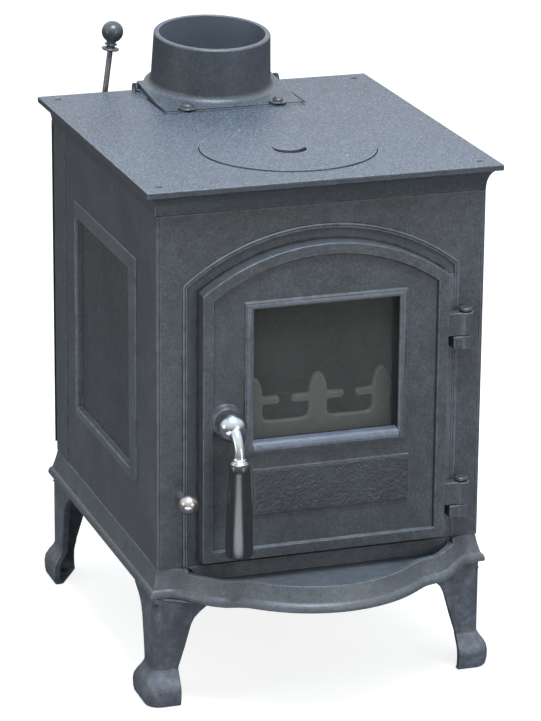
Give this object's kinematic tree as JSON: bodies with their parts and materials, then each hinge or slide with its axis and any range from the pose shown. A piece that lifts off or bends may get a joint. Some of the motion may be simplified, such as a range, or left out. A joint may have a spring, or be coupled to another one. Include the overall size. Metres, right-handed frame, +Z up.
{
  "type": "cast iron wood stove",
  "caption": "Small box-shaped cast-iron wood stove with an arched glass door, round hotplate, top flue collar, curved ash lip and flared legs.",
  "frame": {"origin": "middle of the footprint's bounding box, on the floor", "axes": "+Z up, -Y towards the user (door side), +X to the user's right when facing the door"},
  "size_m": [0.404, 0.5738, 0.6631],
  "materials": {
    "cast_iron": "stove-blacked cast iron, fine sand texture, low sheen",
    "inner_iron": "bare cast iron inside the firebox, matt",
    "sheet_steel": "black heat-proof paint on sheet steel, matt",
    "steel": "plain zinc-plated steel, satin",
    "dark_steel": "blackened steel, satin",
    "chrome": "polished chrome",
    "brushed_nickel": "satin nickel",
    "black_wood": "turned hardwood, black lacquer, glossy",
    "ceramic_glass": "clear ceramic glass, faintly brown",
    "glass_fibre": "woven glass-fibre rope and tape",
    "fire_brick": null
  },
  "bodies": {
    "stove": {"top_plate": "cast_iron", "flue_collar": "cast_iron", "flue_bolts": "dark_steel", "corner_screws": "dark_steel", "front_frame": "cast_iron", "left_side_panel": "cast_iron", "right_side_panel": "cast_iron", "rear_panel": "cast_iron", "base_plate": "cast_iron", "leg_front_left": "cast_iron", "leg_front_right": "cast_iron", "leg_rear_left": "cast_iron", "leg_rear_right": "cast_iron", "leg_bolts": "steel", "rear_heat_shield": "sheet_steel", "shield_spacers": "steel", "shield_screws": "steel", "brick_left": "fire_brick", "brick_right": "fire_brick", "brick_rear": "fire_brick", "baffle_plate": "inner_iron", "grate_frame": "inner_iron", "log_guard": "inner_iron", "ash_pan": "sheet_steel", "hinge_pin_upper": "dark_steel", "hinge_pin_lower": "dark_steel", "latch_keeper": "steel", "keeper_screws": "steel", "shutter_bolt": "steel"},
    "door": {"door": "cast_iron", "door_glass": "ceramic_glass", "glass_gasket": "glass_fibre", "glass_clips": "steel", "clip_screws": "steel", "door_rope": "glass_fibre"},
    "handle": {"handle_spindle": "steel", "handle_crank": "chrome", "handle_ferrule": "chrome", "handle_grip": "black_wood", "latch_tongue": "steel", "latch_nut": "steel"},
    "hotplate": {"hotplate_lid": "cast_iron"},
    "riddle": {"riddling_grate": "inner_iron", "riddling_rod": "steel", "riddling_knob": "brushed_nickel"},
    "damper": {"air_shutter": "inner_iron", "lever_rod": "dark_steel", "lever_knob": "cast_iron"}
  },
  "joints": [
    {"name": "door_hinge", "type": "hinge", "parent": "stove", "child": "door", "pos_m": [0.162, -0.19417, 0.295], "axis": [0, 0, 1], "range_deg": [0, 110]},
    {"name": "handle_turn", "type": "hinge", "parent": "door", "child": "handle", "pos_m": [-0.113, -0.19967, 0.325], "axis": [0, -1, 0], "range_deg": [0, 90]},
    {"name": "hotplate_lift", "type": "slide", "parent": "stove", "child": "hotplate", "axis": [0, 0, 1], "range_m": [0, 0.06]},
    {"name": "riddle_slide", "type": "slide", "parent": "stove", "child": "riddle", "axis": [0, -1, 0], "range_m": [0, 0.04]},
    {"name": "shutter_turn", "type": "hinge", "parent": "stove", "child": "damper", "pos_m": [-0.1255, 0.24633, 0.5], "axis": [0, 1, 0], "range_deg": [-38, 8]}
  ]
}
